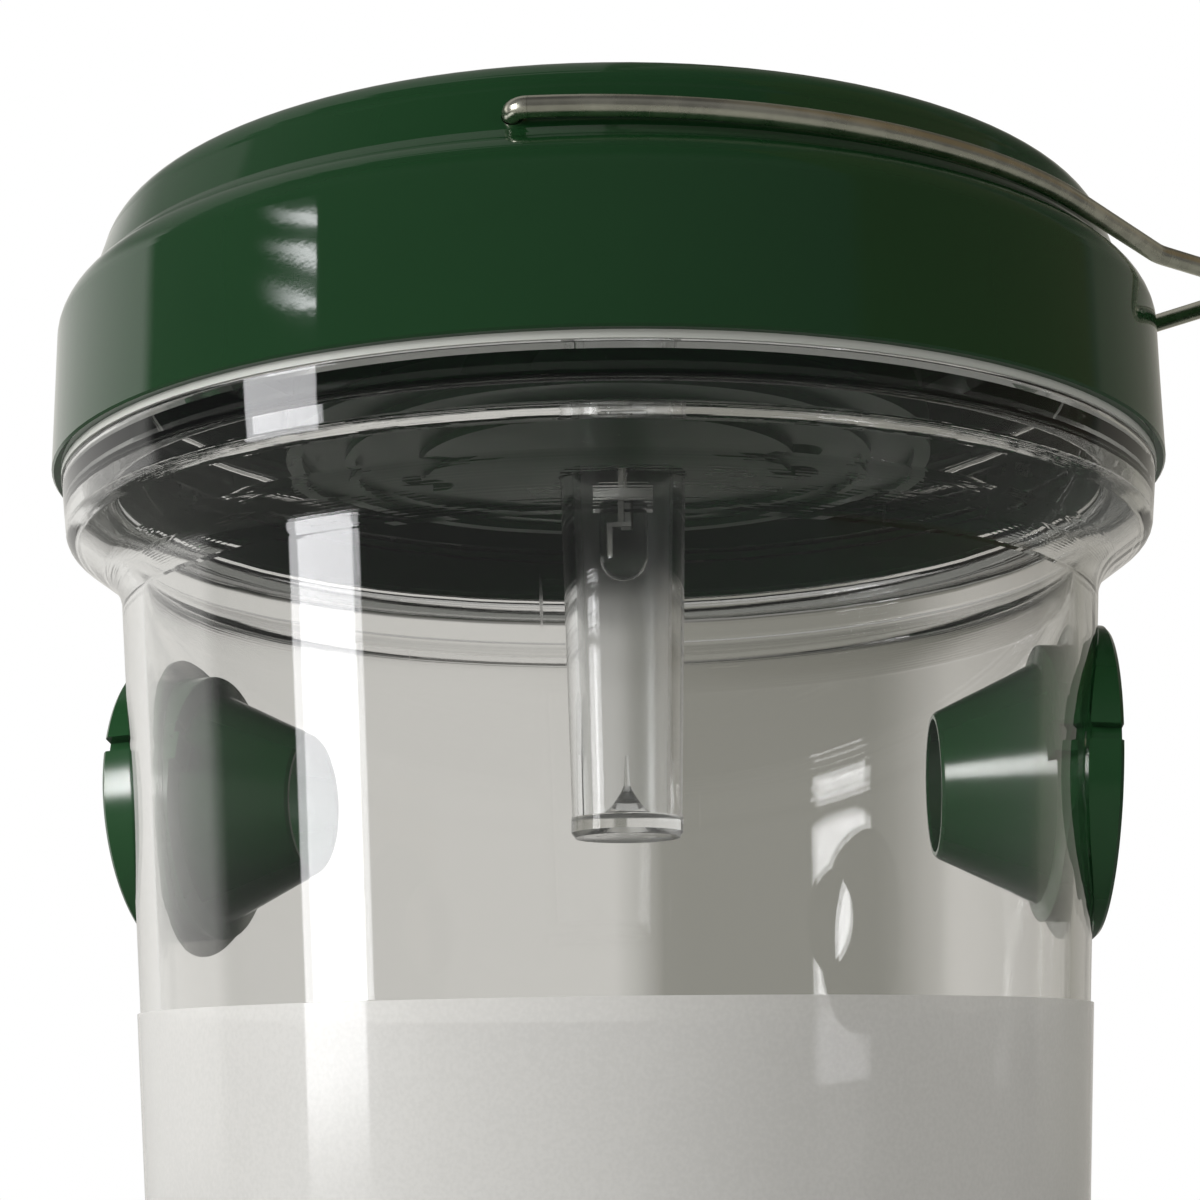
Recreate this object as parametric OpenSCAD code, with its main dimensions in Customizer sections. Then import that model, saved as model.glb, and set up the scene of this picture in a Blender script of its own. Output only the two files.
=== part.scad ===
// Bee bait trap: clear jar with two entry funnels and a green lit screw lid on a wire bail.
// Millimetres, +Z up, origin at the middle of the jar's base.

/* [Jar body] */
// height from the base to the flat top of the collar
jar_h = 141.3; // [100:0.1:200]
// outer radius of the body just below the collar
body_r = 49; // [35:0.1:70]
// radius lost per mm of height going down
body_draft = 0.055; // [0:0.005:0.08]
// thickness of the clear wall
wall = 2; // [1.2:0.1:3]
// thickness of the floor
floor_t = 2.4; // [1.5:0.1:4]
// depth of the hollow under the floor
foot_recess = 1.2; // [0.5:0.1:3]
// rounding of the lower corner
base_round = 5; // [2:0.1:8]

/* [Collar and neck] */
// how far the collar stands out from the body
collar_out = 6.2; // [5:0.1:10]
// height of the collar with the fillet under it
collar_h = 12.5; // [11:0.1:18]
// height of the collar's side above its rounded lower edge
collar_side = 5; // [4:0.1:7]
// rounding of the collar's lower edge
collar_round = 1.8; // [1:0.1:2.4]
// slope of the collar's underside
collar_slope = 35; // [20:1:45]
// fillet between the underside and the body
collar_fillet = 5; // [3:0.1:7]
// thickness of the collar's side
collar_wall = 2.1; // [1.5:0.1:3]
// thickness of the collar's flat top
ledge_t = 2.2; // [1.5:0.1:3]
// radial step from the collar's edge to the neck
neck_step = 3.6; // [2.5:0.1:5]
// thickness of the neck
neck_wall = 2.2; // [1.5:0.1:3]
// height of the neck above the collar
neck_h = 11.7; // [8:0.1:16]
// rise of the thread in one turn
thread_pitch = 4.5; // [3:0.1:6]
// turns of thread on the neck
thread_turns = 1.5; // [1:0.1:1.8]
// how far the thread stands out of the neck
thread_out = 1.2; // [0.8:0.1:1.6]

/* [Label] */
// lower edge of the label above the base
label_z = 20; // [8:1:60]
// height of the label
label_h = 69.2; // [20:0.1:80]
// thickness of the label film
label_t = 0.2; // [0.1:0.05:0.5]

/* [Funnels] */
// distance of the funnel axis below the top of the collar
funnel_drop = 29.9; // [29:0.1:40]
// turn of each funnel's axis towards the back
funnel_lean = 6; // [0:1:15]
// radius of the funnel flange
flange_r = 15.8; // [15.5:0.1:16.4]
// thickness of the flange above and below the hole, where it is thinnest
flange_t = 0.8; // [0.6:0.1:2]
// radius of the spigot in the jar's hole
spigot_r = 13.9; // [10:0.1:14.5]
// outer radius of the funnel's inner end
tip_r = 7.4; // [5:0.1:9]
// depth of the funnel's inner end below the body's top radius
cone_len = 16.5; // [12:0.1:22]
// thickness of the funnel wall
funnel_wall = 1.2; // [0.8:0.1:2]
// angle of the right flange's front notch above the funnel's axis
notch_right = 11; // [-45:1:45]
// angle of the left flange's front notch above the funnel's axis
notch_left = 19; // [-45:1:45]

/* [Lid] */
// thickness of the ring between collar and lid
seal_t = 0.7; // [0.5:0.1:2]
// height of the lid's skirt
skirt_h = 13.4; // [10:0.1:20]
// height of the rounded shoulder
shoulder_h = 4.7; // [3:0.1:7]
// radial width of the rounded shoulder
shoulder_w = 5.44; // [4:0.1:7]
// top of the crown above the skirt's lower edge
lid_h = 25.6; // [22:0.1:34]
// thickness of the crown's wall and top
lid_wall = 2; // [1.4:0.1:3]
// rounding of the crown's top edge
crown_round = 4.5; // [2:0.1:6]

/* [Bail] */
// diameter of the wire
wire_d = 1.8; // [1.2:0.1:2.6]
// height of the pivot above the skirt's lower edge
pivot_h = 19.4; // [18.5:0.1:24]
// droop of the folded bail
bail_droop = 1.1; // [0:0.1:1.2]
// distance of the hook's point from the lid's axis
hook_reach = 66; // [62:0.5:76]

/* [Light] */
// radius of the guide where it leaves the cover
guide_r = 6.6; // [5:0.1:8]
// radius of the guide at its lower end
guide_tip_r = 5.6; // [4.5:0.1:7]
// thickness of the guide's wall
guide_wall = 1.2; // [0.8:0.1:1.8]
// length of the guide below the skirt's lower edge
guide_len = 35.4; // [20:0.1:45]
// distance of the guide from the lid's axis
guide_x = 1.5; // [0:0.1:3]
// radius of the electronics bay
bay_r = 33; // [31:0.1:36]
// height of the cover's lower face above the skirt's lower edge
cover_h = 4.5; // [1:0.1:5]
// distance of each cover screw from the axis
cover_screw_x = 19.3; // [17:0.1:22]

/* [Panel] */
// side of the solar panel
panel_w = 50; // [40:1:56]

/* [Hidden] */
$fn = 96;
fine = 20;
fit = 0.1;
run = 0.08;
eps = 0.02;

lid_z = jar_h + seal_t;
body_top_z = jar_h - collar_h;
collar_r = body_r + collar_out;
neck_r = collar_r - neck_step;
neck_in = neck_r - neck_wall;
neck_top = jar_h + neck_h;
thread_r = neck_r + thread_out;
base_r = body_r - body_draft * body_top_z;
inner_floor = foot_recess + floor_t;
foot_r = base_r - base_round - 5.5;

skirt_in = thread_r + 0.6;
lid_r = collar_r + 0.8;
lug_r = neck_r + 0.5;
skirt_top_r = lid_r - 0.3;
notch_in = 2.7;
notch_r = skirt_top_r - notch_in;
notch_z = skirt_h + shoulder_h * sqrt(1 - pow((shoulder_w - notch_in) / shoulder_w, 2));
crown_lean = 0.4;
crown_r = notch_r - crown_lean * (lid_h - crown_round - notch_z);
crown_in = notch_r - 3.3;
bay_ceiling = lid_h - lid_wall;

funnel_z = jar_h - funnel_drop;
hole_r = spigot_r + fit;
flange_edge = 0.35;
notch_w = 1.6;
notch_d = 1.5;
cone_r = spigot_r - 1.8;
tip_in = tip_r - 0.7;
catch = 0.9;
catch_w = 3;
catch_t = 1.2;
wall_in = body_at(funnel_z) - wall;
flange_back = body_at(funnel_z) - sqrt(pow(body_at(funnel_z), 2) - pow(flange_r, 2)) + flange_t + 2;
spigot_at = sqrt(pow(wall_in, 2) - pow(spigot_r, 2)) - 0.5;
catch_at = sqrt(pow(wall_in, 2) - pow(hole_r + catch, 2)) - 0.4;
tip_at = body_r - cone_len;

lamp_r = 2.5;
lamp_tip = -9;
lamp_top = -1.1;
spacer_h = 2.1;
lead_w = 0.5;
lead_pitch = 2.54;
bar_z = lamp_tip + 5.2;
bar_reach = 0.9;
post_x = -1;
post_z = lamp_tip + 2.2;
guide_foot = 2.1;
cover_t = 2;
cover_top = cover_h + cover_t;
guide_flange = guide_r + 2;
well_r = 4.2;
well_h = 4.5;
screw_head_r = 2.4;
screw_head_h = 1.6;
screw_r = 1.15;

board_z = cover_top + 3;
board_t = 1.6;
board_top = board_z + board_t;
board_x = 26;
board_y0 = -22;
board_y1 = 9;
board_screw_x = 9;
board_screw_y = -16;
cell_r = 5.15;
cell_len = 29;
cell_y = 17;
cell_z = cover_top + 7.2;
contact_t = 0.4;
cell_x0 = -14.2;
cell_x1 = cell_x0 + cell_len;
nub = 1;
post_t = 1.6;
spring_gap = 3;

panel_top = lid_h - 0.1;
pad_under = 2;
pocket_d = 2;
lead_x = 3;
lead_y = -19;
lead_r = 0.6;

green = [0.13, 0.31, 0.17];
clear = [0.86, 0.92, 0.92, 0.35];
steel = [0.62, 0.60, 0.57];

// points of an arc with half widths a and b
function arc(cx, cy, a, b, t0, t1, n) =
  [for (i = [0 : n]) let (t = t0 + (t1 - t0) * i / n) [cx + a * cos(t), cy + b * sin(t)]];

// outer radius of the body at height z
function body_at(z) = body_r - body_draft * (body_top_z - z);

// helical ridge with run-out at both ends, its root buried in the wall it stands on
module ridge(r_in, r_crest, w_in, w_crest, z0, pitch, a0, turns, n) {
  function lift(i) = min(1, 0.5 + i / 6, 0.5 + (n - i) / 6);
  function station(i) =
    let (a = a0 + 360 * turns * i / n,
         z = z0 + pitch * turns * i / n,
         rc = r_in + (r_crest - r_in) * lift(i),
         prof = [[r_in, -w_in / 2], [rc, -w_crest / 2], [rc, w_crest / 2], [r_in, w_in / 2]])
    [for (p = prof) [p[0] * cos(a), p[0] * sin(a), z + p[1]]];
  pts = [for (i = [0 : n]) for (p = station(i)) p];
  side = [for (i = [0 : n - 1]) for (k = [0 : 3])
            let (a = 4 * i + k, b = 4 * i + (k + 1) % 4) each [[a, b, a + 4], [b, b + 4, a + 4]]];
  caps = [[3, 2, 1, 0], [for (k = [0 : 3]) 4 * n + k]];
  polyhedron(points = pts, faces = concat(side, caps));
}

// straight wire in the XY plane, a hair short at both ends
module straight(p, q, r) {
  translate([p[0], p[1], 0])
    rotate([0, 0, atan2(q[1] - p[1], q[0] - p[0])])
      translate([eps, 0, 0])
        rotate([0, 90, 0])
          cylinder(h = norm(q - p) - 2 * eps, r = r, $fn = 32);
}

// core that joins two lengths of wire end to end, along angle t
module core(p, t, r) {
  translate([p[0], p[1], 0])
    rotate([0, 0, t])
      translate([-0.3, 0, 0])
        rotate([0, 90, 0])
          cylinder(h = 0.6, r = r * 0.7, $fn = 32);
}

// bent wire in the XY plane, turning from angle t0 to t1 about a centre
module bend(c, rad, t0, t1, r) {
  translate([c[0], c[1], 0])
    rotate([0, 0, t0])
      rotate_extrude(angle = t1 - t0)
        translate([rad, 0])
          circle(r = r, $fn = 32);
}

// places a shape drawn along +Z from the jar's axis on a funnel's axis
module at_funnel(side) {
  translate([0, 0, funnel_z])
    rotate([0, side * 90, side * funnel_lean])
      children();
}

module jar() {
  under = 90 + collar_slope;
  edge_r = collar_r - 0.65 - collar_round;
  edge_z = jar_h - collar_side;
  ledge = jar_h - ledge_t;
  collar_in = collar_r - 0.3 - collar_wall;
  outer = concat(
    [[0, foot_recess], [foot_r - foot_recess, foot_recess], [foot_r, 0]],
    arc(base_r - base_round, base_round, base_round, base_round, -90, -2.3, fine),
    arc(body_r + collar_fillet, body_top_z, collar_fillet, collar_fillet, 180, under, fine),
    arc(edge_r, edge_z, collar_round, collar_round, under - 180, -8, fine),
    [[collar_r - 0.2, jar_h - 0.2], [collar_r - 0.4, jar_h], [neck_r, jar_h],
     [neck_r, neck_top - 0.6], [neck_r - 0.6, neck_top], [0, neck_top]]);
  inner = concat(
    [[0, inner_floor]],
    arc(base_r - wall - 3.5 + body_draft * 6, inner_floor + 3.5, 3.5, 3.5, -90, -2.3, fine),
    arc(body_r + collar_fillet, body_top_z, collar_fillet + wall, collar_fillet + wall, 180, under, fine),
    arc(edge_r - 0.9, edge_z + 0.6, 0.8, 0.8, under - 180, -8, fine),
    arc(collar_in - 0.8, ledge - 0.8, 0.8, 0.8, 0, 90, fine),
    arc(neck_in + 1.2, ledge + 1.2, 1.2, 1.2, 270, 180, fine),
    [[neck_in, neck_top - 0.5], [neck_in + 0.5, neck_top + eps], [0, neck_top + eps]]);
  color(clear)
    union() {
      difference() {
        rotate_extrude()
          polygon(outer);
        rotate_extrude()
          polygon(inner);
        for (side = [-1, 1])
          at_funnel(side)
            cylinder(h = body_r + 10, r = hole_r);
      }
      ridge(neck_r - 0.7, thread_r, 2.5, 0.8, lid_z + 2.9, thread_pitch, -61, thread_turns, 54);
    }
}

module label_band() {
  z0 = label_z;
  z1 = label_z + label_h;
  color([0.84, 0.85, 0.85, 0.9])
    rotate_extrude()
      polygon([[body_at(z0) + eps, z0], [body_at(z0) + label_t, z0], [body_at(z1) + label_t, z1],
               [body_at(z1) + eps, z1]]);
}

// solid of revolution that follows the body's outer face behind a flange, g mm out from it
module hug(g) {
  z0 = funnel_z - flange_r - 1;
  z1 = funnel_z + flange_r + 1;
  rotate([0, 0, 90])
    rotate_extrude()
      polygon([[0, z0], [body_at(z0) + g, z0], [body_at(z1) + g, z1], [0, z1]]);
}

// places a shape drawn along +Z on the flat face of a funnel's flange
module at_flange(side) {
  rotate([0, 0, side * funnel_lean])
    translate([side * (body_at(funnel_z) + flange_t), 0, funnel_z])
      rotate([0, side * (90 + atan(body_draft)), 0])
        children();
}

// funnel whose flange is flat outside and curved to the body inside;
// turn is the place of its two notches and catches
module funnel(side, turn) {
  mouth_at = body_r + 10;
  edge = 0.3;
  color(green)
    difference() {
      union() {
        difference() {
          at_flange(side)
            rotate_extrude()
              polygon([[0, -flange_back], [flange_r, -flange_back], [flange_r, -flange_edge],
                       [flange_r - flange_edge, 0], [0, 0]]);
          hug(fit);
        }
        intersection() {
          at_funnel(side)
            rotate_extrude()
              polygon([[0, tip_at + edge], [tip_r - edge, tip_at], [tip_r, tip_at + edge],
                       [cone_r, spigot_at - 0.6], [spigot_r, spigot_at], [spigot_r, mouth_at],
                       [0, mouth_at]]);
          hug(flange_t / 2);
        }
        at_funnel(side)
          for (a = [0, 180])
            rotate([0, 0, turn + a])
              translate([tip_in, -catch_w / 2, catch_at - catch_t])
                cube([hole_r + catch - tip_in, catch_w, catch_t]);
      }
      at_funnel(side)
        rotate_extrude()
          polygon([[0, tip_at - 1], [tip_in, tip_at - 1], [tip_in, tip_at + edge],
                   [cone_r - funnel_wall, spigot_at], [spigot_r - funnel_wall, mouth_at], [0, mouth_at]]);
      at_flange(side)
        for (a = [0, 180])
          rotate([0, 0, turn + a])
            translate([flange_r - notch_d, -notch_w / 2, -flange_back - 1])
              cube([notch_d + 1, notch_w, flange_back + 2]);
    }
}

module entry_funnel_right() {
  funnel(1, 90 - notch_right);
}

module entry_funnel_left() {
  funnel(-1, 90 + notch_left);
}

module seal_ring() {
  color([0.85, 0.87, 0.84])
    translate([0, 0, jar_h])
      difference() {
        cylinder(h = seal_t, r = collar_r - 0.1);
        translate([0, 0, -1])
          cylinder(h = seal_t + 2, r = skirt_in + 0.5);
      }
}

module lid_shell() {
  outer = concat(
    [[skirt_in + 0.5, 0], [lid_r - 0.2, 0], [lid_r, 0.2], [skirt_top_r, skirt_h]],
    arc(skirt_top_r - shoulder_w, skirt_h, shoulder_w, shoulder_h, 6, 51, fine),
    [[notch_r + 0.25, notch_z + 0.02], [notch_r - crown_lean * 0.5, notch_z + 0.6]],
    arc(crown_r - crown_round, lid_h - crown_round, crown_round, crown_round, 12, 90, fine));
  inner = [[0, lid_h], [0, bay_ceiling - pad_under], [panel_w * 0.5 * 1.42 + 1.5, bay_ceiling - pad_under],
           [panel_w * 0.5 * 1.42 + 3.5, bay_ceiling], [crown_in - 2, bay_ceiling],
           [crown_in, bay_ceiling - 2], [crown_in, skirt_h - 0.4],
           [skirt_in - 0.6, skirt_h - 0.4], [skirt_in, skirt_h - 1], [skirt_in, 0.5]];
  color(green)
    translate([0, 0, lid_z])
      difference() {
        union() {
          rotate_extrude()
            polygon(concat(outer, inner));
          difference() {
            translate([0, 0, cover_top])
              cylinder(h = bay_ceiling - pad_under - cover_top + 1, r = bay_r);
            translate([0, 0, cover_top - 1])
              cylinder(h = bay_ceiling - pad_under - cover_top + 1, r = bay_r - lid_wall);
          }
          for (s = [-1, 1])
            translate([s * cover_screw_x, 0, cover_top + well_h])
              cylinder(h = bay_ceiling - pad_under - cover_top - well_h + 1, r = well_r, $fn = 48);
          for (k = [0 : 2])
            lug(99 + 120 * k, 2.7 + thread_pitch * k / 3);
        }
        translate([-panel_w / 2 - fit, -panel_w / 2 - fit, lid_h - pocket_d])
          cube([panel_w + 2 * fit, panel_w + 2 * fit, pocket_d + 1]);
        for (s = [-1, 1])
          translate([s * lead_x, lead_y, bay_ceiling - pad_under - 1])
            cylinder(h = lid_wall + pad_under + 2, r = lead_r + 0.3, $fn = 32);
        for (s = [-1, 1])
          translate([s * cover_screw_x, 0, cover_top + well_h - 1])
            cylinder(h = 10, r = screw_r + eps, $fn = 32);
        translate([0, notch_r + 4, pivot_h])
          rotate([90, 0, 0])
            cylinder(h = 2 * notch_r + 8, r = wire_d / 2 + run, $fn = 32);
      }
}

// short inner thread piece centred on azimuth a
module lug(a, z) {
  rotate([0, 0, a - 9])
    rotate_extrude(angle = 18)
      polygon([[skirt_in + 0.4, z - 1.1], [lug_r, z - 0.4], [lug_r, z + 0.4], [skirt_in + 0.4, z + 0.7]]);
}

// unit vector at an angle
function along(t) = [cos(t), sin(t)];

// half of the bail in its own flat plane: u along X, v along Y
module bail_half(kink, tip, rh, tc) {
  r = wire_d / 2;
  rad = notch_r + r;
  rb = 1.5;
  stub = notch_r - 6.7;
  uc = sqrt(pow(rad - rb, 2) - rb * rb);
  ta = asin(rb / (rad - rb));
  tb = atan2(kink[1], kink[0]) - acos(rad / norm(kink));
  rk = 6;
  tl = rk * tan((tb - tc) / 2);
  q1 = kink - tl * along(tb + 90);
  q2 = kink + tl * along(tc + 90);
  straight([stub, 0], [uc, 0], r);
  core([uc, 0], 0, r);
  bend([uc, rb], rb, -90, ta, r);
  core(rad * along(ta), ta + 90, r);
  bend([0, 0], rad, ta + 0.03, tb, r);
  core(rad * along(tb), tb + 90, r);
  straight(rad * along(tb), q1, r);
  core(q1, tb + 90, r);
  bend(q1 + rk * along(tb), rk, tc + 180, tb + 180, r);
  core(q2, tc + 90, r);
  straight(q2, tip + rh * along(tc), r);
  core(tip + rh * along(tc), tc + 90, r);
}

module bail() {
  rh = 2.6;
  kink = [11.5, hook_reach - 10.7];
  tip = [0, hook_reach - rh];
  tc = atan2(kink[1] - tip[1], kink[0]) + acos(rh / norm(kink - tip));
  color(steel)
    translate([0, 0, lid_z + pivot_h])
      rotate([0, bail_droop, 0])
        rotate([0, 0, -90])
          union() {
            bail_half(kink, tip, rh, tc);
            mirror([1, 0, 0])
              bail_half(kink, tip, rh, tc);
            bend(tip, rh, tc, 180 - tc, wire_d / 2);
          }
}

module bay_cover() {
  color(green)
    translate([0, 0, lid_z])
      difference() {
        union() {
          translate([0, 0, cover_h])
            cylinder(h = cover_t, r = bay_r);
          translate([0, 0, cover_h - 0.8])
            cylinder(h = 1, r = 19.5);
          cover_ring(26.5, 1);
          cover_ring(bay_r - 0.8, 1.6);
          for (s = [-1, 1])
            translate([s * cover_screw_x, 0, cover_h])
              cylinder(h = cover_t + well_h, r = well_r, $fn = 48);
          for (s = [-1, 1])
            translate([s * board_screw_x, board_screw_y, cover_top - 1])
              cylinder(h = board_z - cover_top + 1, r = 2.6, $fn = 48);
          for (s = [-1, 1])
            translate([s * 8 - 0.8, cell_y - 6.5, cover_top - 1])
              cube([1.6, 13, 5.6]);
          translate([cell_x1 + nub + contact_t, cell_y - 4.5, cover_top - 1])
            cube([post_t, 9.5, 12]);
          translate([cell_x0 - spring_gap - contact_t - post_t, cell_y - 4.5, cover_top - 1])
            cube([post_t, 9.5, 12]);
        }
        translate([guide_x, 0, cover_h - 2])
          cylinder(h = cover_t + 4, r = guide_r + fit);
        for (s = [-1, 1])
          translate([s * cover_screw_x, 0, cover_h - 2])
            cylinder(h = cover_t + well_h - 1.6 + 2, r = 2.8, $fn = 48);
        for (s = [-1, 1])
          translate([s * cover_screw_x, 0, cover_h])
            cylinder(h = cover_t + well_h + 1, r = screw_r + 0.35, $fn = 32);
        for (s = [-1, 1])
          translate([s * board_screw_x, board_screw_y, cover_top - 0.4])
            cylinder(h = 8, r = 0.9 + eps, $fn = 32);
        translate([-14, cell_y, cell_z])
          rotate([0, 90, 0])
            cylinder(h = 28, r = cell_r + fit / 2);
      }
}

// round ridge standing down from the cover
module cover_ring(r, w) {
  translate([0, 0, cover_h - 0.8])
    difference() {
      cylinder(h = 1, r = r + w / 2);
      translate([0, 0, -1])
        cylinder(h = 3, r = r - w / 2);
    }
}

// pan head screw, head down, tip up, seat of the head at z = 0
module pan_screw(head_r, head_h, r, len) {
  difference() {
    union() {
      translate([0, 0, -head_h])
        cylinder(h = head_h, r1 = head_r - 0.5, r2 = head_r, $fn = 32);
      cylinder(h = len - 1, r = r, $fn = 32);
      translate([0, 0, len - 1])
        cylinder(h = 1, r1 = r, r2 = 0.3, $fn = 32);
    }
    for (a = [0, 90])
      rotate([0, 0, a])
        translate([-head_r * 0.6, -head_r * 0.12, -head_h - 1])
          cube([head_r * 1.2, head_r * 0.24, 1.8]);
  }
}

module cover_screws() {
  color([0.75, 0.76, 0.77])
    for (s = [-1, 1])
      translate([s * cover_screw_x, 0, lid_z + cover_top + well_h - 1.6])
        pan_screw(screw_head_r, screw_head_h, screw_r, 8.5);
}

// clear tube closed by a foot, with a moulded bell and spike inside
module light_guide() {
  foot_r = guide_tip_r + 0.1;
  foot_top = guide_foot - guide_len;
  bell_r = 3.2;
  bell = [[0, -0.2], [bell_r, -0.2], [bell_r, 0], [bell_r * 0.75, 0.35], [bell_r * 0.45, 1.3],
          [bell_r * 0.2, 2.5], [0.35, 3.1], [0.15, 6.2], [0, 6.2]];
  color(clear)
    translate([guide_x, 0, lid_z])
      union() {
        difference() {
          union() {
            translate([0, 0, cover_top])
              cylinder(h = 1.6, r = guide_flange);
            translate([0, 0, foot_top - eps])
              cylinder(h = cover_top - foot_top + eps, r1 = guide_tip_r, r2 = guide_r);
            translate([0, 0, 0.5 - guide_len])
              cylinder(h = guide_foot - 0.5, r = foot_r);
            translate([0, 0, -guide_len])
              cylinder(h = 0.5, r1 = foot_r - 0.4, r2 = foot_r);
          }
          translate([0, 0, foot_top])
            cylinder(h = cover_top + 2 - foot_top, r1 = guide_tip_r - guide_wall,
                     r2 = guide_r - guide_wall);
        }
        translate([0, 0, foot_top])
          rotate_extrude()
            polygon(bell);
      }
}

module led_lens() {
  color([0.9, 0.93, 0.95, 0.6])
    translate([guide_x, 0, lid_z])
      difference() {
        union() {
          translate([0, 0, lamp_tip + lamp_r])
            sphere(r = lamp_r, $fn = 48);
          translate([0, 0, lamp_tip + lamp_r])
            cylinder(h = lamp_top - lamp_tip - lamp_r, r = lamp_r, $fn = 48);
        }
        led_metal();
      }
}

// two legs up through the board, one behind the other, the front one with a cross bar and a post
module led_metal() {
  leg_top = board_top + 0.8;
  front = -lead_pitch / 2;
  for (y = [front, -front])
    translate([-lead_w / 2, y - lead_w / 2, bar_z])
      cube([lead_w, lead_w, leg_top - bar_z]);
  translate([post_x - lead_w / 2, front - lead_w / 2, bar_z])
    cube([bar_reach - post_x + lead_w / 2, lead_w, lead_w]);
  translate([post_x - lead_w / 2, front - lead_w / 2, post_z])
    cube([lead_w, lead_w, bar_z - post_z]);
}

module led_leads() {
  color([0.8, 0.8, 0.8])
    translate([guide_x, 0, lid_z])
      led_metal();
}

module led_spacer() {
  color([0.9, 0.9, 0.86])
    translate([guide_x, 0, lid_z])
      difference() {
        translate([0, 0, lamp_top])
          cylinder(h = spacer_h, r = lamp_r + 0.6, $fn = 48);
        led_metal();
      }
}

module circuit_board() {
  color([0.10, 0.36, 0.22])
    translate([0, 0, lid_z])
      difference() {
        translate([-board_x / 2, board_y0, board_z])
          cube([board_x, board_y1 - board_y0, board_t]);
        translate([guide_x, 0, 0])
          led_metal();
        for (s = [-1, 1])
          translate([s * board_screw_x, board_screw_y, board_z - 1])
            cylinder(h = board_t + 2, r = 1.2, $fn = 32);
      }
}

module board_screws() {
  color([0.75, 0.76, 0.77])
    for (s = [-1, 1])
      translate([s * board_screw_x, board_screw_y, lid_z + board_top])
        mirror([0, 0, 1])
          pan_screw(1.9, 1.3, 0.9, 4.8);
}

module driver_chip() {
  translate([-7, -7, lid_z + board_top]) {
    color([0.08, 0.08, 0.09])
      union() {
        translate([-1.95, -2.45, 0.15])
          cube([3.9, 4.9, 1.45]);
        for (s = [-1, 1])
          for (k = [0 : 3])
            translate([s > 0 ? 1.9 : -3, -2.1 + 1.27 * k, 0])
              cube([1.1, 0.4, 0.6]);
      }
  }
}

module inductor() {
  color([0.22, 0.20, 0.19])
    translate([7.5, -7, lid_z + board_top])
      union() {
        cylinder(h = 1, r = 3, $fn = 48);
        cylinder(h = 5, r = 2.3, $fn = 48);
        translate([0, 0, 4.2])
          cylinder(h = 1, r = 3, $fn = 48);
      }
}

module cell() {
  color([0.16, 0.45, 0.30])
    translate([cell_x0, cell_y, lid_z + cell_z])
      rotate([0, 90, 0])
        union() {
          cylinder(h = cell_len, r = cell_r);
          cylinder(h = cell_len + nub, r = 1.9, $fn = 48);
        }
}

module cell_contact_positive() {
  color([0.78, 0.78, 0.76])
    translate([cell_x1 + nub, cell_y - 7, lid_z + cover_top])
      cube([contact_t, 12, 11]);
}

// flat plate with a bowed leaf that presses on the cell's end
module cell_contact_spring() {
  x0 = cell_x0 - spring_gap - contact_t;
  color([0.78, 0.78, 0.76])
    translate([0, 0, lid_z])
      union() {
        translate([x0, cell_y - 7, cover_top])
          cube([contact_t, 12, 11]);
        translate([0, cell_y + 2.5, 0])
          rotate([90, 0, 0])
            linear_extrude(5)
              polygon([[x0, cover_top + 11], [x0 + contact_t, cover_top + 10.6],
                       [cell_x0 - contact_t, cell_z], [x0 + contact_t, cover_top + 3.4],
                       [x0 + contact_t + 0.5, cover_top + 3.1], [cell_x0, cell_z],
                       [x0 + contact_t + 0.5, cover_top + 11.2], [x0, cover_top + 11.4]]);
      }
}

module cell_leads() {
  color([0.75, 0.12, 0.10])
    translate([0, 0, lid_z])
      union() {
        lead_path(11.5, cell_x1 + nub - lead_r);
        lead_path(-11.5, cell_x0 - spring_gap + lead_r);
      }
}

// short wire from the board's corner, bent over to a contact's free edge
module lead_path(x, xc) {
  rb = 1.2;
  z = board_top + 1.6;
  dx = xc - x;
  dy = cell_y - 12;
  translate([x, 6, 0])
    rotate([0, 0, atan2(dy, dx)])
      union() {
        translate([0, 0, board_top])
          cylinder(h = z - rb - board_top, r = lead_r, $fn = 32);
        translate([0, 0, z - rb])
          rotate([90, 0, 0])
            bend([rb, 0], rb, 90, 180, lead_r);
        translate([rb, 0, z])
          rotate([0, 90, 0])
            cylinder(h = norm([dx, dy]) - rb, r = lead_r, $fn = 32);
      }
}

module solar_panel() {
  color([0.9, 0.9, 0.88])
    translate([-panel_w / 2, -panel_w / 2, lid_z + lid_h - pocket_d])
      cube([panel_w, panel_w, 1]);
}

// the four strips with a grown margin for the hollow in the resin
module strips(grow) {
  sw = (panel_w - 7) / 4;
  for (k = [0 : 3])
    translate([-panel_w / 2 + 2 + k * (sw + 1), -panel_w / 2 + 2.5, lid_z + lid_h - pocket_d + 1])
      cube([sw, panel_w - 5, 0.3 + grow]);
}

module solar_cells() {
  color([0.07, 0.09, 0.20])
    strips(0);
}

module panel_resin() {
  color([0.9, 0.95, 1, 0.4])
    difference() {
      translate([-panel_w / 2, -panel_w / 2, lid_z + lid_h - pocket_d + 1])
        cube([panel_w, panel_w, pocket_d - 1.1]);
      strips(0);
    }
}

module panel_leads() {
  color([0.12, 0.12, 0.13])
    for (s = [-1, 1])
      translate([s * lead_x, lead_y, lid_z + board_top])
        cylinder(h = lid_h - pocket_d - board_top, r = lead_r, $fn = 32);
}

jar();
label_band();
entry_funnel_right();
entry_funnel_left();
seal_ring();
lid_shell();
bail();
bay_cover();
cover_screws();
light_guide();
led_lens();
led_leads();
led_spacer();
circuit_board();
board_screws();
driver_chip();
inductor();
cell();
cell_contact_positive();
cell_contact_spring();
cell_leads();
solar_panel();
solar_cells();
panel_resin();
panel_leads();
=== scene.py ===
import math

import bmesh
import bpy
from mathutils import Matrix, Vector


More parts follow.
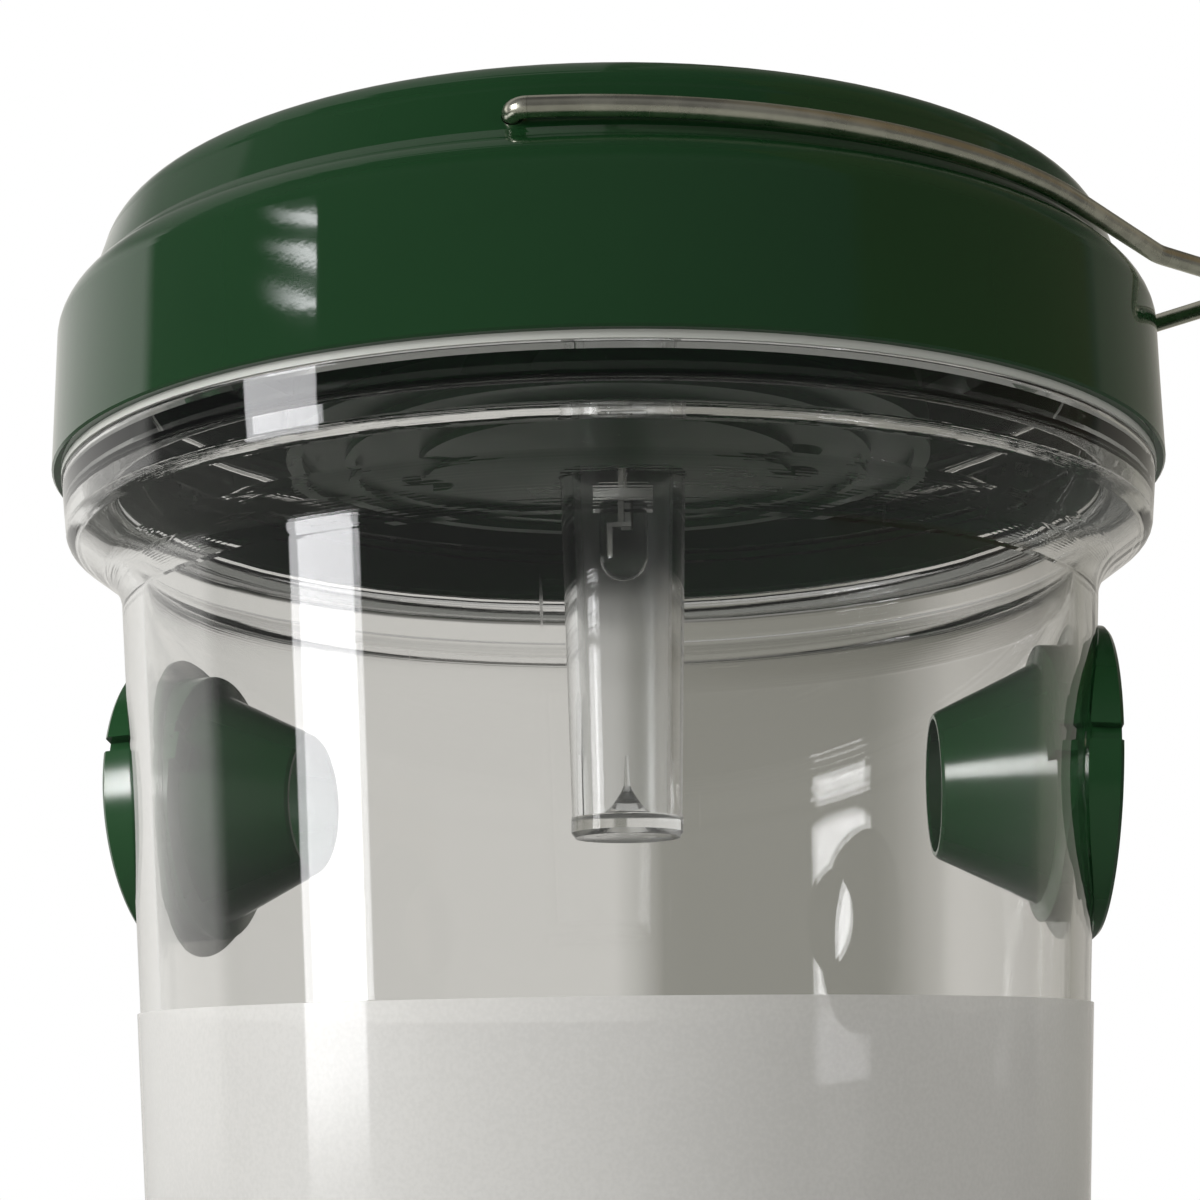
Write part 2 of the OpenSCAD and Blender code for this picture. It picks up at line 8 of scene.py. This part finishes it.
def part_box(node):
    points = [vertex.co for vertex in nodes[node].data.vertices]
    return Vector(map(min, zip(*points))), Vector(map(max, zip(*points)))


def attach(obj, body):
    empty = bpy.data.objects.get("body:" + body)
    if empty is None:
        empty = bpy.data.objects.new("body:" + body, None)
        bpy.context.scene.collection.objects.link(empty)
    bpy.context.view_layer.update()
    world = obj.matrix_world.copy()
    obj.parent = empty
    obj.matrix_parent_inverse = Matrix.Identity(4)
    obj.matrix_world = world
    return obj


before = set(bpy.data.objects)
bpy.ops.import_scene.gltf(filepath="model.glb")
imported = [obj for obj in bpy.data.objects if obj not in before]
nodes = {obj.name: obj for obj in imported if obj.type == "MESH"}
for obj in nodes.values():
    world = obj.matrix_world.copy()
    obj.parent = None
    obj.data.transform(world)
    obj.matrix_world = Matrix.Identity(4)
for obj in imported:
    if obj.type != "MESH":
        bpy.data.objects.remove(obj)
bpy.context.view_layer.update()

scene = bpy.context.scene
MM = 0.001
TO_DEGREES = 180 / math.pi


# Camera at the photograph's angle

CAM_AZ = math.radians(8.2)
CAM_YAW = math.radians(-0.24)
CAM_PITCH = math.radians(7.61)
CAM_ROLL = math.radians(-0.72)
CAM_PLACE_MM = (0, -235.9, 83.1)
CAM_LENS = 70.2
CAM_SENSOR = 36
CAM_SHIFT = (-0.0019, 0.1333)
CAM_CLIP = 0.005


def add_camera():
    z = Vector((0, 0, 1))
    f0 = Vector((math.sin(CAM_YAW), math.cos(CAM_YAW), 0))
    r0 = Vector((math.cos(CAM_YAW), -math.sin(CAM_YAW), 0))
    fwd = f0 * math.cos(CAM_PITCH) + z * math.sin(CAM_PITCH)
    up0 = z * math.cos(CAM_PITCH) - f0 * math.sin(CAM_PITCH)
    right = r0 * math.cos(CAM_ROLL) + up0 * math.sin(CAM_ROLL)
    up = up0 * math.cos(CAM_ROLL) - r0 * math.sin(CAM_ROLL)
    turn = Matrix.Rotation(CAM_AZ, 3, "Z")
    pos = turn @ Vector(CAM_PLACE_MM) * MM
    right, up, fwd = turn @ right, turn @ up, turn @ fwd
    cam = bpy.data.cameras.new("camera")
    cam.lens = CAM_LENS
    cam.sensor_width = CAM_SENSOR
    cam.sensor_fit = "HORIZONTAL"
    cam.shift_x, cam.shift_y = CAM_SHIFT
    cam.clip_start = CAM_CLIP
    ob = bpy.data.objects.new("camera", cam)
    scene.collection.objects.link(ob)
    m = Matrix((right, up, -fwd)).transposed().to_4x4()
    m.translation = pos
    ob.matrix_world = m
    scene.camera = ob


add_camera()
scene.view_settings.view_transform = "Standard"


# Node helpers

class Graph:
    """Small helper that adds nodes to a tree and links them."""

    def __init__(self, tree):
        self.t = tree
        tree.nodes.clear()

    def add(self, kind, **props):
        n = self.t.nodes.new(kind)
        for k, v in props.items():
            setattr(n, k, v)
        return n

    def put(self, socket, value):
        if isinstance(value, bpy.types.NodeSocket):
            self.t.links.new(value, socket)
        else:
            socket.default_value = value

    def math(self, op, a, b=0.0, clamp=False):
        n = self.add("ShaderNodeMath", operation=op, use_clamp=clamp)
        self.put(n.inputs[0], a)
        self.put(n.inputs[1], b)
        return n.outputs[0]

    def dot(self, a, vec):
        n = self.add("ShaderNodeVectorMath", operation="DOT_PRODUCT")
        self.put(n.inputs[0], a)
        n.inputs[1].default_value = vec
        return n.outputs["Value"]

    def length(self, vec):
        n = self.add("ShaderNodeVectorMath", operation="LENGTH")
        self.put(n.inputs[0], vec)
        return n.outputs["Value"]

    def step(self, x, lo, hi, a=0.0, b=1.0):
        """Smooth step from a at lo to b at hi."""
        n = self.add("ShaderNodeMapRange", interpolation_type="SMOOTHSTEP", clamp=True)
        self.put(n.inputs["Value"], x)
        n.inputs["From Min"].default_value = lo
        n.inputs["From Max"].default_value = hi
        n.inputs["To Min"].default_value = a
        n.inputs["To Max"].default_value = b
        return n.outputs["Result"]

    def band(self, x, lo, hi, soft):
        """One between lo and hi, with soft edges."""
        a = self.step(x, lo - soft, lo + soft)
        b = self.step(x, hi - soft, hi + soft, 1.0, 0.0)
        return self.math("MULTIPLY", a, b)

    def pane(self, x, y, box, corner, soft):
        """One inside a rectangle with rounded corners; box is x0, x1, y0, y1."""
        x0, x1, y0, y1 = box
        over = []
        for v, lo, hi in ((x, x0, x1), (y, y0, y1)):
            away = self.math("ABSOLUTE", self.math("SUBTRACT", v, (lo + hi) / 2))
            past = self.math("SUBTRACT", away, (hi - lo) / 2 - corner)
            over.append(self.math("MAXIMUM", past, 0.0))
        square = self.math("ADD", self.math("POWER", over[0], 2.0), self.math("POWER", over[1], 2.0))
        return self.step(self.math("SQRT", square), corner - soft, corner + soft, 1.0, 0.0)

    def mix(self, fac, a, b, blend="MIX"):
        n = self.add("ShaderNodeMix", data_type="RGBA", blend_type=blend)
        self.put(n.inputs[0], fac)
        self.put(n.inputs[6], a)
        self.put(n.inputs[7], b)
        return n.outputs[2]

    def mix_shader(self, fac, a, b):
        n = self.add("ShaderNodeMixShader")
        self.put(n.inputs[0], fac)
        self.put(n.inputs[1], a)
        self.put(n.inputs[2], b)
        return n.outputs[0]

    def noise(self, vec, scale, detail, rough):
        n = self.add("ShaderNodeTexNoise")
        self.put(n.inputs["Vector"], vec)
        n.inputs["Scale"].default_value = scale
        n.inputs["Detail"].default_value = detail
        n.inputs["Roughness"].default_value = rough
        return n.outputs["Fac"]

    def mapping(self, vec, scale, rot=(0, 0, 0), move=(0, 0, 0)):
        n = self.add("ShaderNodeMapping")
        self.put(n.inputs["Vector"], vec)
        n.inputs["Location"].default_value = move
        n.inputs["Scale"].default_value = scale
        n.inputs["Rotation"].default_value = rot
        return n.outputs["Vector"]

    def ramp(self, fac, stops):
        n = self.add("ShaderNodeValToRGB")
        self.put(n.inputs["Fac"], fac)
        cr = n.color_ramp
        while len(cr.elements) < len(stops):
            cr.elements.new(0.5)
        for e, (place, colour) in zip(cr.elements, stops):
            e.position = place
            e.color = rgb(colour)
        return n.outputs["Color"]

    def bump(self, height, strength, distance):
        n = self.add("ShaderNodeBump")
        self.put(n.inputs["Height"], height)
        n.inputs["Strength"].default_value = strength
        n.inputs["Distance"].default_value = distance
        return n.outputs["Normal"]

    def surface(self, shader):
        """Make the shader the material's surface."""
        out = [n for n in self.t.nodes if n.type == "OUTPUT_MATERIAL"][0]
        self.put(out.inputs["Surface"], shader)


def rgb(c):
    return (c[0], c[1], c[2], 1.0)


# World: white for the camera, a plain grey room with one window for everything else.
# Angles are in degrees: azimuth is 0 towards the camera, the back wall's own angle is 0
# straight behind the object, and a pair is where a change starts and ends.

BACK_LEFT = (-106, -101)
BACK_RIGHT = (113, 117)
ROOM_RISE = (-20, 40)
ROOM_TOP = (42, 60)
ROOM_LOW = (0.09, 0.09, 0.09)
ROOM_MID = (0.15, 0.15, 0.15)
ROOM_HIGH = (0.07, 0.07, 0.07)
ROOM_THROUGH = (0.36, 0.36, 0.34)
THROUGH_SHARE = 0.6
WALL_HALF = 90
WALL_STOPS = [
    (0.05, (1.0, 0.99, 0.97)), (0.30, (0.84, 0.83, 0.80)), (0.46, (0.70, 0.685, 0.65)),
    (0.501, (0.70, 0.685, 0.65)), (0.508, (0.31, 0.305, 0.27)), (0.545, (0.31, 0.305, 0.27)),
    (0.56, (0.64, 0.62, 0.58)), (0.60, (0.55, 0.53, 0.49)), (0.72, (0.34, 0.33, 0.29)),
    (0.90, (0.28, 0.27, 0.24)),
]
SHADE_RISE = (6, 16)
SHADE_SIDE = (-4, 8)
SHADE_TINT = (0.45, 0.44, 0.40)
SHADE_SHARE = 0.5
WALL_TOP = (24, 34)
WALL_TOP_LOSS = 0.65
BLACK_RGB = (0.0, 0.0, 0.0)
BROWN = (0.13, 0.10, 0.06)
BROWN_AZ = (50, 113, 3)
BROWN_EL = (9, 70, 4)
BROWN_SHARE = 0.85
WINDOW_BOX = (-75, -58, -35, 15.5)
WINDOW_CORNER = 4.5
WINDOW_SOFT = 0.4
WINDOW_GLOW = (9.0, 9.0, 9.2)
SLITS = ((20.8, 21.1), (21.6, 21.9), (22.5, 22.8))
SLIT_SOFT = 0.08
SLIT_FADE = (-76, -59.5)
SLIT_FADE_POWER = 2.2
SLIT_END = (-58.6, -58.0)
SLIT_GLOW = (14.0, 14.0, 14.3)
BACKDROP = (1, 1, 1)


def make_world():
    world = bpy.data.worlds.new("studio")
    scene.world = world
    world.use_nodes = True
    g = Graph(world.node_tree)
    d = g.add("ShaderNodeTexCoord").outputs["Generated"]
    c, s = math.cos(CAM_AZ), math.sin(CAM_AZ)
    x = g.dot(d, (c, s, 0))
    y = g.dot(d, (s, -c, 0))
    z = g.dot(d, (0, 0, 1))
    az = g.math("MULTIPLY", g.math("ARCTAN2", x, y), TO_DEGREES)
    el = g.math("MULTIPLY", g.math("ARCSINE", z), TO_DEGREES)
    phi = g.math("MULTIPLY", g.math("ARCTAN2", x, g.math("MULTIPLY", y, -1.0)), TO_DEGREES)
    path = g.add("ShaderNodeLightPath")

    room = g.mix(g.step(el, *ROOM_RISE), rgb(ROOM_LOW), rgb(ROOM_MID))
    room = g.mix(g.step(el, *ROOM_TOP), room, rgb(ROOM_HIGH))
    through = g.math("MULTIPLY", path.outputs["Is Transmission Ray"], THROUGH_SHARE)
    room = g.mix(through, room, rgb(ROOM_THROUGH))

    wall = g.ramp(g.math("DIVIDE", g.math("ADD", phi, WALL_HALF), 2.0 * WALL_HALF), WALL_STOPS)
    shade = g.math("MULTIPLY", g.step(el, *SHADE_RISE), g.step(phi, *SHADE_SIDE))
    wall = g.mix(shade, wall, g.mix(SHADE_SHARE, wall, rgb(SHADE_TINT), "MULTIPLY"))
    wall = g.mix(g.step(el, *WALL_TOP), wall, g.mix(WALL_TOP_LOSS, wall, rgb(BLACK_RGB)))

    back = g.math("ADD", g.step(az, *BACK_LEFT, 1.0, 0.0), g.step(az, *BACK_RIGHT), clamp=True)
    col = g.mix(back, room, wall)
    brown = g.math("MULTIPLY", g.band(az, *BROWN_AZ), g.band(el, *BROWN_EL))
    col = g.mix(g.math("MULTIPLY", brown, BROWN_SHARE), col, rgb(BROWN))
    col = g.mix(g.pane(az, el, WINDOW_BOX, WINDOW_CORNER, WINDOW_SOFT), col, rgb(WINDOW_GLOW))

    # Slits above the window, fading to the left, for the three short marks on the lid
    fade = g.math("POWER", g.step(az, *SLIT_FADE), SLIT_FADE_POWER)
    fade = g.math("MULTIPLY", fade, g.step(az, *SLIT_END, 1.0, 0.0))
    slit = 0.0
    for lo, hi in SLITS:
        slit = g.math("ADD", slit, g.band(el, lo, hi, SLIT_SOFT))
    col = g.mix(g.math("MULTIPLY", slit, fade, clamp=True), col, rgb(SLIT_GLOW))

    col = g.mix(path.outputs["Is Camera Ray"], col, rgb(BACKDROP))
    bg = g.add("ShaderNodeBackground")
    g.put(bg.inputs["Color"], col)
    out = g.add("ShaderNodeOutputWorld")
    g.put(out.inputs["Surface"], bg.outputs[0])


make_world()


# Lamps

def area(name, pos, target, size, power, shape="DISK"):
    """Soft lamp that gloss and glass don't show."""
    light = bpy.data.lights.new(name, "AREA")
    light.shape = shape
    light.size = size
    light.energy = power
    ob = bpy.data.objects.new(name, light)
    scene.collection.objects.link(ob)
    ob.location = pos
    ob.rotation_euler = (Vector(target) - Vector(pos)).to_track_quat("-Z", "Y").to_euler()
    ob.visible_glossy = False
    ob.visible_transmission = False
    ob.visible_camera = False
    return ob


def window_on(names, target, pos, size, power):
    """Window light that falls on the named nodes alone and shows in their gloss."""
    ob = area("window", pos, target, size, power, "SQUARE")
    ob.visible_glossy = True
    ob.data.cycles.use_multiple_importance_sampling = False
    group = bpy.data.collections.new("window_receivers")
    for name in names:
        group.objects.link(nodes[name])
    ob.light_linking.receiver_collection = group


area("key", pos=(-0.95, -0.75, 0.6), target=(0, 0, 0.12), size=0.7, power=11)
area("fill", pos=(0.95, -0.8, 0.35), target=(0, 0, 0.1), size=0.8, power=3.4)
area("top", pos=(0.1, 0.3, 1.2), target=(0, 0, 0.1), size=0.9, power=6)
window_on(["entry_funnel_right", "entry_funnel_left", "led_leads", "led_spacer"],
          target=(0.035, -0.008, 0.111), pos=(-0.244, -0.408, 0.219), size=0.14, power=1.7)


# Materials

def material(name):
    m = bpy.data.materials.new(name)
    m.use_nodes = True
    g = Graph(m.node_tree)
    bsdf = g.add("ShaderNodeBsdfPrincipled")
    g.add("ShaderNodeOutputMaterial")
    g.surface(bsdf.outputs[0])
    pos = g.add("ShaderNodeTexCoord").outputs["Object"]
    return m, g, bsdf, pos


def plastic(name, base, dark, light, rough=0.1, grain=0.02, gloss=0.5):
    """Moulded plastic, slightly cloudy between dark and light, with a fine grain."""
    m, g, b, pos = material(name)
    b.inputs["Specular IOR Level"].default_value = gloss
    cloud = g.noise(pos, scale=35, detail=4, rough=0.55)
    fine = g.noise(pos, scale=900, detail=2, rough=0.6)
    col = g.mix(g.step(cloud, 0.3, 0.7), rgb(dark), rgb(light))
    g.put(b.inputs["Base Color"], g.mix(0.5, rgb(base), col))
    g.put(b.inputs["Roughness"], g.step(cloud, 0.25, 0.75, rough * 0.8, rough * 1.3))
    g.put(b.inputs["Normal"], g.bump(fine, strength=grain, distance=0.05 * MM))
    return m


def clear(name, tint, ior=1.5, bore=None):
    """Clear plastic with hair scratches that lets the lamps through.

    bore is the x of a hole's axis, its radius and how frosted the hole's rear half is.
    """
    m, g, b, pos = material(name)
    hair = g.noise(g.mapping(pos, (900, 900, 14), (0.5, 0.35, 0)), scale=1.0, detail=2, rough=0.5)
    cross = g.noise(g.mapping(pos, (1100, 1100, 18), (-0.7, 0.2, 0.4)), scale=1.0, detail=2, rough=0.5)
    line = g.math("MAXIMUM", g.step(hair, 0.74, 0.80), g.step(cross, 0.75, 0.81))
    b.inputs["Base Color"].default_value = rgb(tint)
    b.inputs["Transmission Weight"].default_value = 1.0
    b.inputs["IOR"].default_value = ior
    scratch_rough = 0.12
    rough = g.math("MULTIPLY", line, scratch_rough)
    if bore:
        x, radius, frost = bore
        away = g.length(g.mapping(pos, (1, 1, 0), move=(-x, 0, 0)))
        inside = g.step(away, radius - 0.1 * MM, radius, 1.0, 0.0)
        split = g.add("ShaderNodeSeparateXYZ")
        g.put(split.inputs[0], pos)
        worn = g.step(split.outputs["Y"], -0.5 * radius, 0.5 * radius, 0.15 * frost, frost)
        rough = g.math("MAXIMUM", rough, g.math("MULTIPLY", inside, worn))
    g.put(b.inputs["Roughness"], rough)
    through = g.add("ShaderNodeBsdfTransparent")
    through.inputs["Color"].default_value = rgb([0.96 * v for v in tint])
    shadow = g.add("ShaderNodeLightPath").outputs["Is Shadow Ray"]
    g.surface(g.mix_shader(shadow, b.outputs[0], through.outputs[0]))
    return m


def film(name, base, see):
    """Thin hazy film under a gloss face; see is the share that shows what is behind."""
    m, g, b, pos = material(name)
    fleck = g.noise(pos, scale=2600, detail=2, rough=0.5)
    cloud = g.noise(pos, scale=60, detail=4, rough=0.6)
    both = g.math("ADD", g.math("MULTIPLY", fleck, 0.7), g.math("MULTIPLY", cloud, 0.3))
    tone = g.step(both, 0.35, 0.65)
    g.put(b.inputs["Base Color"], g.mix(tone, rgb([0.94 * v for v in base]), rgb(base)))
    g.put(b.inputs["Roughness"], g.step(cloud, 0.3, 0.7, 0.35, 0.45))
    b.inputs["Alpha"].default_value = 1.0 - see
    face = g.add("ShaderNodeFresnel")
    face.inputs["IOR"].default_value = 1.45
    front = g.math("SUBTRACT", 1.0, g.add("ShaderNodeNewGeometry").outputs["Backfacing"])
    shine = g.add("ShaderNodeBsdfGlossy")
    shine.inputs["Roughness"].default_value = 0.04
    coat = g.math("MULTIPLY", face.outputs[0], front)
    g.surface(g.mix_shader(coat, b.outputs[0], shine.outputs[0]))
    return m


def metal(name, base, rough, shine=1.0):
    """Metal with a dull mottle; shine below one adds a pale tarnish."""
    m, g, b, pos = material(name)
    mottle = g.noise(pos, scale=300, detail=3, rough=0.6)
    col = g.mix(g.step(mottle, 0.3, 0.7), rgb([0.75 * v for v in base]), rgb(base))
    g.put(b.inputs["Base Color"], col)
    b.inputs["Metallic"].default_value = shine
    g.put(b.inputs["Roughness"], g.step(mottle, 0.2, 0.8, rough * 0.7, rough * 1.3))
    return m


def silicon(name, dark, light):
    """Dark blue cast silicon with faint crystal grains."""
    m, g, b, pos = material(name)
    grain = g.add("ShaderNodeTexVoronoi")
    g.put(grain.inputs["Vector"], g.mapping(pos, (1, 0.6, 1), (0, 0, 0.4)))
    grain.inputs["Scale"].default_value = 330
    tone = g.add("ShaderNodeSeparateColor")
    g.put(tone.inputs[0], grain.outputs["Color"])
    g.put(b.inputs["Base Color"], g.mix(tone.outputs[0], rgb(dark), rgb(light)))
    g.put(b.inputs["Roughness"], g.step(tone.outputs[1], 0, 1, 0.22, 0.34))
    return m


# Base, dark and light of the green that the lid and the funnels share
GREENS = ((0.0085, 0.038, 0.012), (0.0078, 0.035, 0.011), (0.0092, 0.041, 0.013))
COVER_GREENS = ((0.0085, 0.036, 0.012), (0.0078, 0.033, 0.011), (0.0092, 0.039, 0.013))

GREEN = plastic("green_plastic", *GREENS, rough=0.035)
FUNNEL = plastic("funnel_plastic", *GREENS, rough=0.16)
JAR = clear("clear_jar", (0.93, 0.93, 0.925))
ROD = clear("clear_rod", (0.96, 0.965, 0.965), bore=(1.5 * MM, 5.45 * MM, 0.3))
EPOXY = clear("led_epoxy", (0.95, 0.96, 0.97), ior=1.54)
RESIN = clear("panel_resin", (0.95, 0.96, 0.98))
SEAL = plastic("seal", (0.50, 0.51, 0.47), (0.46, 0.47, 0.43), (0.54, 0.55, 0.51), rough=0.35)
LABEL = film("label_film", (0.83, 0.82, 0.79), see=0.38)
WIRE = metal("bail_wire", (0.95, 0.93, 0.78), rough=0.28)
COVER = plastic("cover_plastic", *COVER_GREENS, rough=0.30, grain=0.04, gloss=0.22)
STEEL = metal("screw_steel", (0.62, 0.62, 0.63), rough=0.25)
TIN = metal("tinned", (0.86, 0.85, 0.82), rough=0.45)
LEAD = metal("lead_tin", (0.92, 0.90, 0.82), rough=0.40, shine=0.3)
NYLON = plastic("pale_nylon", (0.75, 0.75, 0.70), (0.72, 0.72, 0.67), (0.78, 0.78, 0.74), rough=0.4)
BOARD = plastic("solder_mask", (0.02, 0.12, 0.05), (0.015, 0.10, 0.04), (0.03, 0.14, 0.06), rough=0.3)
CHIP = plastic("chip_black", (0.02, 0.02, 0.02), (0.015, 0.015, 0.015), (0.03, 0.03, 0.03), rough=0.5)
FERRITE = plastic("ferrite", (0.06, 0.055, 0.05), (0.05, 0.045, 0.04), (0.08, 0.07, 0.06), rough=0.6)
SLEEVE = plastic("cell_sleeve", (0.03, 0.16, 0.07), (0.025, 0.14, 0.06), (0.035, 0.18, 0.08), rough=0.2)
RED = plastic("lead_red", (0.45, 0.02, 0.015), (0.42, 0.015, 0.01), (0.48, 0.03, 0.02), rough=0.3)
BLACK = plastic("lead_black", (0.015, 0.015, 0.015), (0.012, 0.012, 0.012), (0.02, 0.02, 0.02), rough=0.3)
BACKING = plastic("panel_back", (0.70, 0.70, 0.67), (0.67, 0.67, 0.64), (0.73, 0.73, 0.70), rough=0.5)
SILICON = silicon("silicon", (0.006, 0.009, 0.030), (0.013, 0.020, 0.062))

for name, mat in {
    "jar": JAR, "label_band": LABEL, "entry_funnel_right": FUNNEL, "entry_funnel_left": FUNNEL,
    "seal_ring": SEAL, "lid_shell": GREEN, "bail": WIRE, "bay_cover": COVER,
    "cover_screws": STEEL, "light_guide": ROD, "led_lens": EPOXY, "led_leads": LEAD,
    "led_spacer": NYLON, "circuit_board": BOARD, "board_screws": STEEL, "driver_chip": CHIP,
    "inductor": FERRITE, "cell": SLEEVE, "cell_contact_positive": TIN, "cell_contact_spring": TIN,
    "cell_leads": RED, "solar_panel": BACKING, "solar_cells": SILICON, "panel_resin": RESIN,
    "panel_leads": BLACK,
}.items():
    o = nodes[name]
    o.data.materials.clear()
    o.data.materials.append(mat)


# Silver grid on the solar cells

STRIPS = 4
STRIP_GAP = 1.0 * MM
BUS_W = 0.9 * MM
BUS_SHORT = 1.2 * MM
FINGER_W = 0.14 * MM
FINGER_SHORT = 0.5 * MM
FINGER_PITCH = 2.25 * MM
GRID_T = 0.03 * MM


def add_cell_grid():
    lo, hi = (Vector(v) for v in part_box("solar_cells"))
    wide = (hi.x - lo.x - (STRIPS - 1) * STRIP_GAP) / STRIPS
    long = hi.y - lo.y
    middle = (lo.y + hi.y) / 2
    count = int(long / FINGER_PITCH)
    arm = (wide - BUS_W) / 2 - FINGER_SHORT
    bm = bmesh.new()

    def bar(x, y, sx, sy):
        place = Matrix.Translation((x, y, hi.z + GRID_T / 2)) @ Matrix.Diagonal((sx, sy, GRID_T, 1))
        bmesh.ops.create_cube(bm, size=1.0, matrix=place)

    for k in range(STRIPS):
        x = lo.x + wide / 2 + k * (wide + STRIP_GAP)
        bar(x, middle, BUS_W, long - BUS_SHORT)
        for i in range(count):
            y = middle + (i - (count - 1) / 2) * FINGER_PITCH
            for side in (-1, 1):
                bar(x + side * (BUS_W + arm) / 2, y, arm, FINGER_W)
    me = bpy.data.meshes.new("cell_grid")
    bm.to_mesh(me)
    bm.free()
    ob = bpy.data.objects.new("cell_grid", me)
    scene.collection.objects.link(ob)
    me.materials.append(TIN)
    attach(ob, "lid_body")


add_cell_grid()


# Floor: pale, fading out at its edge, and darker for rays that were mirrored before

FLOOR_R = 1.1
FLOOR_SEGMENTS = 96
FLOOR_DROP = 0.2 * MM
FLOOR_FADE = (0.45, 1.05)
FLOOR_PALE = (0.66, 0.66, 0.65)
FLOOR_MIRRORED = (0.25, 0.255, 0.24)


def add_floor():
    bm = bmesh.new()
    bmesh.ops.create_circle(bm, cap_ends=True, radius=FLOOR_R, segments=FLOOR_SEGMENTS)
    me = bpy.data.meshes.new("floor")
    bm.to_mesh(me)
    bm.free()
    ob = bpy.data.objects.new("floor", me)
    scene.collection.objects.link(ob)
    m = bpy.data.materials.new("floor")
    m.use_nodes = True
    g = Graph(m.node_tree)
    away = g.length(g.add("ShaderNodeTexCoord").outputs["Object"])
    mirrored = g.math("MINIMUM", g.add("ShaderNodeLightPath").outputs["Glossy Depth"], 1.0)
    pale = g.add("ShaderNodeBsdfDiffuse")
    g.put(pale.inputs["Color"], g.mix(mirrored, rgb(FLOOR_PALE), rgb(FLOOR_MIRRORED)))
    gone = g.add("ShaderNodeBsdfTransparent")
    g.add("ShaderNodeOutputMaterial")
    g.surface(g.mix_shader(g.step(away, *FLOOR_FADE), pale.outputs[0], gone.outputs[0]))
    me.materials.append(m)
    ob.location.z = -FLOOR_DROP


add_floor()
